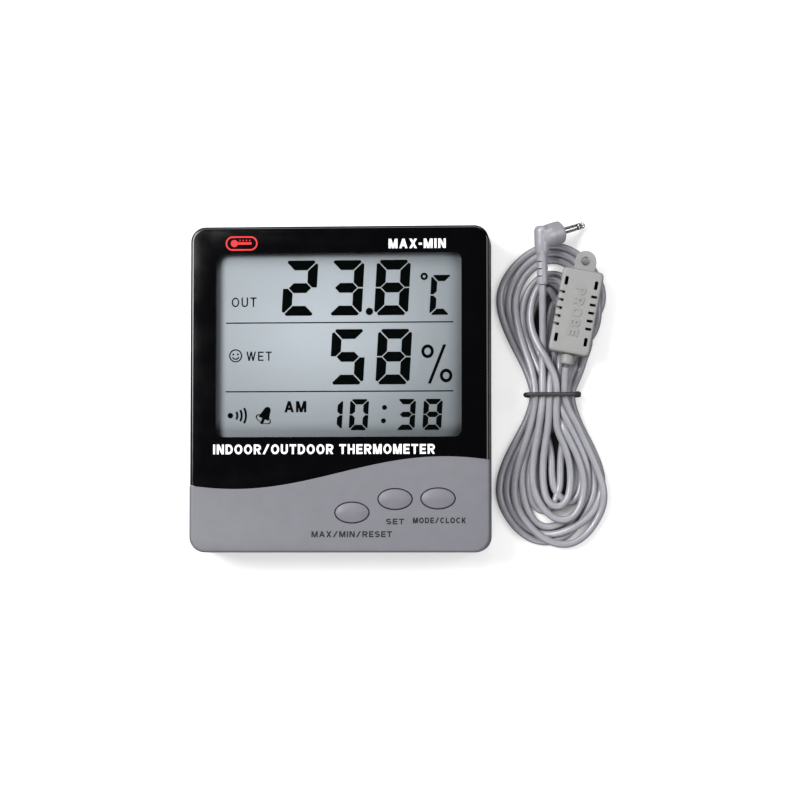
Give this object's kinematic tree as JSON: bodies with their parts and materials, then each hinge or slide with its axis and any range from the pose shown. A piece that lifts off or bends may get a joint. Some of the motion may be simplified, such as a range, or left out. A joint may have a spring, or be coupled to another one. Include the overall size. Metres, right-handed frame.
{
  "type": "maximum minimum thermometer",
  "caption": "Flat digital indoor and outdoor max-min thermometer and hygrometer with a large display, fold-out stand and a wired probe whose lead is folded and tied.",
  "frame": {"origin": "centre of the flat rear face, on which the case lies", "axes": "+X to the right of the display, +Y up the display, +Z out of the face"},
  "size_m": [0.1524, 0.1227, 0.0228],
  "materials": {
    "glossy_black": "gloss moulded",
    "matte_grey": "fine texture",
    "button_grey": "satin",
    "clear_window": "polished clear",
    "display_glass": "reflective liquid crystal",
    "board_green": "solder resist",
    "dark_part": "moulded",
    "white_part": "moulded",
    "plated_metal": "nickel plated",
    "probe_grey": "fine texture",
    "lead_grey": "satin PVC",
    "cell_jacket": "printed jacket"
  },
  "bodies": {
    "case": {"aaa_cell": "cell_jacket", "adjust_switch": "dark_part", "board_screw_1": "plated_metal", "board_screw_2": "plated_metal", "board_screw_3": "plated_metal", "buzzer": "dark_part", "cable_tie": "dark_part", "capacitor": "dark_part", "case_screw_1": "plated_metal", "case_screw_2": "plated_metal", "case_screw_3": "plated_metal", "case_screw_4": "plated_metal", "chip_glob": "dark_part", "circuit_board": "board_green", "contact_spring": "plated_metal", "crystal": "plated_metal", "front_shell": "glossy_black", "humidity_sensor": "white_part", "jack_socket": "dark_part", "lcd_frame": "white_part", "lcd_panel": "display_glass", "lead_hank": "lead_grey", "lower_fascia": "matte_grey", "max_min_switch": "dark_part", "mode_switch": "dark_part", "negative_plate": "plated_metal", "plug_body": "lead_grey", "plug_cable": "lead_grey", "plug_insulator": "dark_part", "plug_sleeve": "plated_metal", "plug_tip": "plated_metal", "positive_plate": "plated_metal", "probe_slide_switch": "plated_metal", "rear_shell": "glossy_black", "sensor_base": "probe_grey", "sensor_board": "board_green", "sensor_cable": "lead_grey", "sensor_cover": "probe_grey", "sensor_element": "white_part", "sensor_gland": "probe_grey", "unit_slide_switch": "plated_metal", "window_lens": "clear_window", "zebra_bottom": "dark_part", "zebra_top": "dark_part"},
    "stand": {"stand": "glossy_black"},
    "battery_door": {"battery_door": "glossy_black"},
    "max_min_button": {"max_min_button": "button_grey"},
    "adjust_button": {"adjust_button": "button_grey"},
    "mode_button": {"mode_button": "button_grey"},
    "unit_slide_knob": {"unit_slide_knob": "dark_part"},
    "probe_slide_knob": {"probe_slide_knob": "dark_part"}
  },
  "joints": [
    {"name": "stand_hinge", "type": "hinge", "parent": "case", "child": "stand", "pos_m": [0, -0.012, 0.002], "axis": [1, 0, 0], "range_deg": [0, 50]},
    {"name": "battery_door_hinge", "type": "hinge", "parent": "case", "child": "battery_door", "pos_m": [-0.0264, 0.024, 0.0009], "axis": [0, 1, 0], "range_deg": [0, 75]},
    {"name": "max_min_press", "type": "slide", "parent": "case", "child": "max_min_button", "axis": [0, 0, -1], "range_m": [0, 0.0007], "stiffness_N_per_m": 800},
    {"name": "adjust_press", "type": "slide", "parent": "case", "child": "adjust_button", "axis": [0, 0, -1], "range_m": [0, 0.0007], "stiffness_N_per_m": 800},
    {"name": "mode_press", "type": "slide", "parent": "case", "child": "mode_button", "axis": [0, 0, -1], "range_m": [0, 0.0007], "stiffness_N_per_m": 800},
    {"name": "unit_slide", "type": "slide", "parent": "case", "child": "unit_slide_knob", "axis": [1, 0, 0], "range_m": [0, 0.0026]},
    {"name": "probe_slide", "type": "slide", "parent": "case", "child": "probe_slide_knob", "axis": [1, 0, 0], "range_m": [0, 0.0026]}
  ]
}
